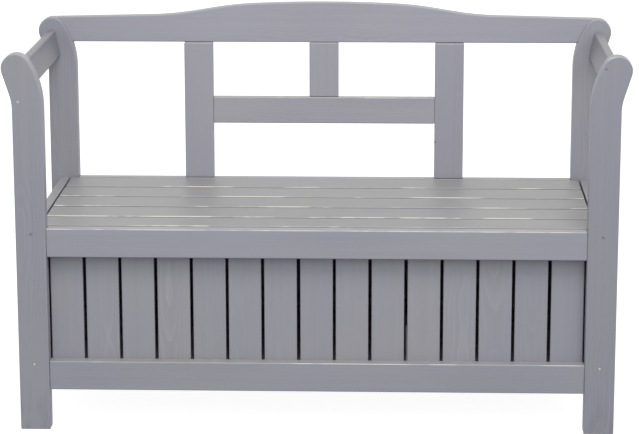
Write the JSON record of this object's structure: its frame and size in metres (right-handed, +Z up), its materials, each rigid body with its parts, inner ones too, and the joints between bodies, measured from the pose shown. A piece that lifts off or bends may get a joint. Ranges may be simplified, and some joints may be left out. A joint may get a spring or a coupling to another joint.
{
  "type": "settle bench",
  "caption": "Painted wooden storage settle: slatted chest with a lift-up slatted seat, curved posts, side arms and an open back under an arched crest rail.",
  "frame": {"origin": "on the floor, under the middle of the bench's outer box", "axes": "+X along the bench to the right as seen from the front, +Y from the front to the back, +Z up"},
  "size_m": [1.291, 0.566, 0.837],
  "materials": {
    "grey_paint": "satin grey paint brushed on pine, grain showing through, worn pale at the sawn edges",
    "hinge_steel": "zinc-plated rolled steel butt hinges",
    "screw_steel": "plated steel screws, the heads touched over with paint"
  },
  "bodies": {
    "frame": {"centre_muntin": "grey_paint", "crest_rail": "grey_paint", "floor_boards": "grey_paint", "frame_hinge_screws": "screw_steel", "frame_screws": "screw_steel", "front_bottom_rail": "grey_paint", "front_floor_cleat": "grey_paint", "front_left_post": "grey_paint", "front_right_post": "grey_paint", "front_seat_rail": "grey_paint", "front_slat_01": "grey_paint", "front_slat_02": "grey_paint", "front_slat_03": "grey_paint", "front_slat_04": "grey_paint", "front_slat_05": "grey_paint", "front_slat_06": "grey_paint", "front_slat_07": "grey_paint", "front_slat_08": "grey_paint", "front_slat_09": "grey_paint", "front_slat_10": "grey_paint", "front_slat_11": "grey_paint", "front_slat_12": "grey_paint", "front_slat_13": "grey_paint", "front_slat_14": "grey_paint", "front_slat_15": "grey_paint", "left_arm": "grey_paint", "left_bottom_rail": "grey_paint", "left_hinge_frame_leaf": "hinge_steel", "left_hinge_pin": "hinge_steel", "left_lid_cleat": "grey_paint", "left_seat_rail": "grey_paint", "left_side_slats": "grey_paint", "left_upright": "grey_paint", "middle_rail": "grey_paint", "rear_bottom_rail": "grey_paint", "rear_floor_cleat": "grey_paint", "rear_left_post": "grey_paint", "rear_panel": "grey_paint", "rear_right_post": "grey_paint", "rear_seat_rail": "grey_paint", "right_arm": "grey_paint", "right_bottom_rail": "grey_paint", "right_hinge_frame_leaf": "hinge_steel", "right_hinge_pin": "hinge_steel", "right_lid_cleat": "grey_paint", "right_seat_rail": "grey_paint", "right_side_slats": "grey_paint", "right_upright": "grey_paint"},
    "lid": {"left_hinge_lid_leaf": "hinge_steel", "left_lid_batten": "grey_paint", "lid_hinge_screws": "screw_steel", "lid_slat_1": "grey_paint", "lid_slat_2": "grey_paint", "lid_slat_3": "grey_paint", "lid_slat_4": "grey_paint", "lid_slat_5": "grey_paint", "middle_lid_batten": "grey_paint", "right_hinge_lid_leaf": "hinge_steel", "right_lid_batten": "grey_paint"}
  },
  "joints": [
    {"name": "lid_hinge", "type": "hinge", "parent": "frame", "child": "lid", "pos_m": [0, 0.246, 0.432], "axis": [-1, 0, 0], "range_deg": [0, 88]}
  ]
}
